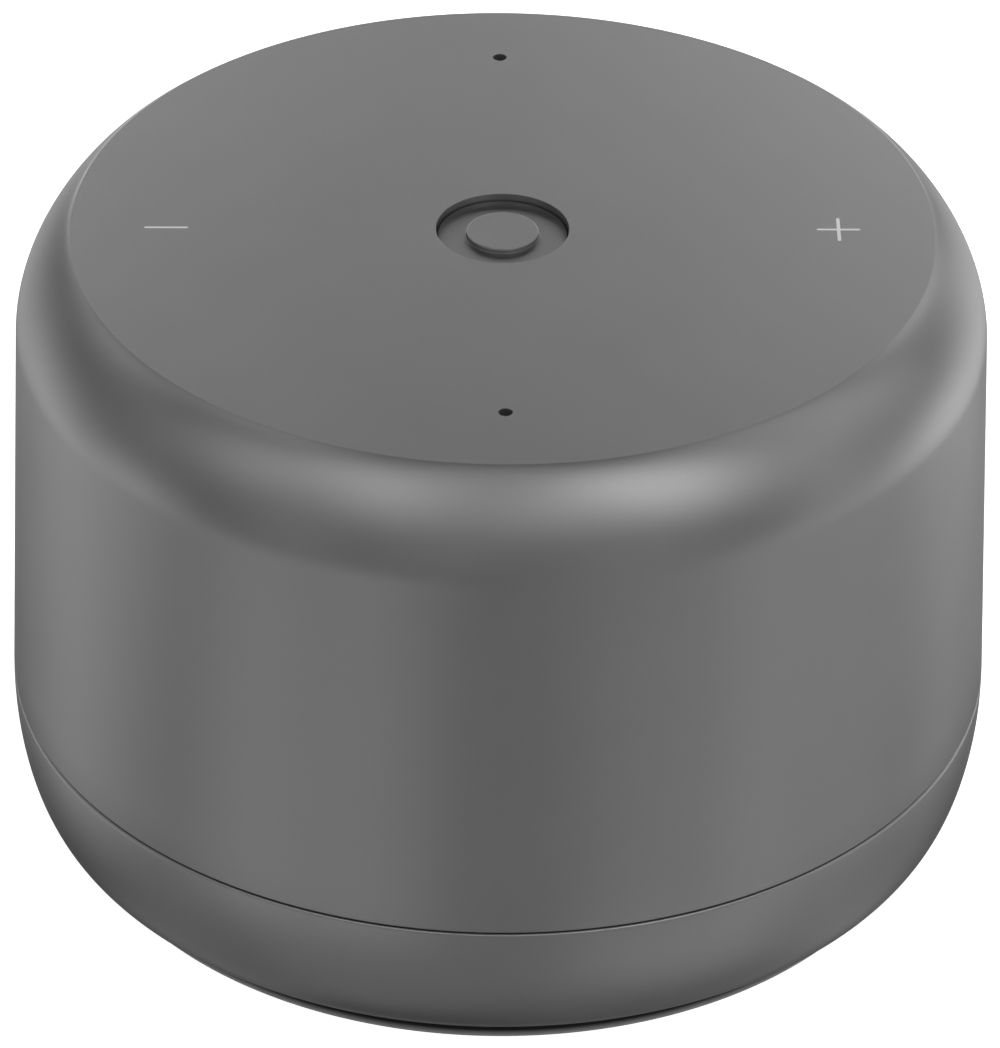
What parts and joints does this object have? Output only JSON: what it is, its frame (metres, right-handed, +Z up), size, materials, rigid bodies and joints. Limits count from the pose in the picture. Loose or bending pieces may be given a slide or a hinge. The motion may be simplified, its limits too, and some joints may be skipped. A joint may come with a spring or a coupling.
{
  "type": "smart home hub",
  "caption": "Drum-shaped voice hub with a rounded shoulder, a recessed round button and touch volume marks on top, and a slim set-back foot.",
  "frame": {"origin": "centre of the underside, on the resting surface, on the drum's axis", "axes": "+Z up along the drum's axis; +Y towards the back, where the power inlet is; +X to the plus mark's side"},
  "size_m": [0.1, 0.1, 0.068],
  "materials": {
    "shell_paint": "satin dark-grey soft-touch coat",
    "button_paint": "satin dark-grey soft-touch coat",
    "mark_ink": "light-grey inlaid mark",
    "black_plastic": "fine-textured moulding",
    "foot_rubber": "matt moulded rubber",
    "screw_steel": "zinc-plated",
    "circuit_board": "green solder mask",
    "can_metal": "tinned sheet metal",
    "socket_steel": "nickel-plated drawn shell",
    "gold_contact": "gold-plated",
    "soft_seal": "soft foam rubber",
    "touch_foam": "conductive cloth over foam",
    "spider_cloth": "resin-stiffened cloth",
    "chip_black": "moulded chip package",
    "connector_nylon": "natural nylon",
    "ribbon_film": "amber polyimide film",
    "basket_steel": "black-painted pressed steel",
    "ferrite": "sintered ferrite",
    "plated_steel": "zinc-plated turned steel",
    "copper_wire": "enamelled copper winding",
    "cone_paper": "black pressed paper pulp",
    "wire_jacket": "red insulated wire",
    "bare_aluminium": "die-cast, bead-blasted",
    "thermal_gel": "soft silicone pad"
  },
  "bodies": {
    "housing": {"outer_shell": "shell_paint", "volume_up_mark": "mark_ink", "volume_down_mark": "mark_ink", "button_switch": "can_metal", "base_shell": "shell_paint", "foot_plate": "black_plastic", "rubber_foot": "foot_rubber", "foot_screws": "screw_steel", "shell_screws": "screw_steel", "top_board": "circuit_board", "top_board_screws": "screw_steel", "microphones": "gold_contact", "microphone_gaskets": "soft_seal", "touch_pads": "touch_foam", "touch_chip": "chip_black", "board_connectors": "connector_nylon", "top_ribbon": "ribbon_film", "speaker_chamber": "black_plastic", "chamber_seal": "soft_seal", "chamber_screws": "screw_steel", "driver_basket": "basket_steel", "driver_gasket": "soft_seal", "driver_screws": "screw_steel", "magnet_ring": "ferrite", "front_plate": "plated_steel", "magnet_yoke": "plated_steel", "cone_surround": "soft_seal", "spider": "spider_cloth", "speaker_terminals": "gold_contact", "speaker_wires": "wire_jacket", "heat_spreader": "bare_aluminium", "thermal_pad": "thermal_gel", "main_board": "circuit_board", "main_board_screws": "screw_steel", "processor": "chip_black", "memory_chips": "chip_black", "radio_shield": "can_metal", "power_coil": "chip_black", "capacitors": "can_metal", "radio_antennas": "gold_contact", "antenna_leads": "soft_seal", "inlet_board": "circuit_board", "inlet_board_screws": "screw_steel", "power_socket": "socket_steel", "socket_tongue": "black_plastic", "inlet_ribbon": "ribbon_film"},
    "button": {"button_cap": "button_paint", "button_plunger": "black_plastic"},
    "cone": {"speaker_cone": "cone_paper", "dust_cap": "cone_paper", "voice_coil": "copper_wire"}
  },
  "joints": [
    {"name": "button_press", "type": "slide", "parent": "housing", "child": "button", "axis": [0, 0, -1], "range_m": [0, 0.0004], "stiffness_N_per_m": 2500, "springref_m": -0.0004},
    {"name": "cone_travel", "type": "slide", "parent": "housing", "child": "cone", "axis": [0, 0, 1], "range_m": [-0.0015, 0.0015], "stiffness_N_per_m": 2000, "deforming": ["cone_surround", "spider"]}
  ]
}
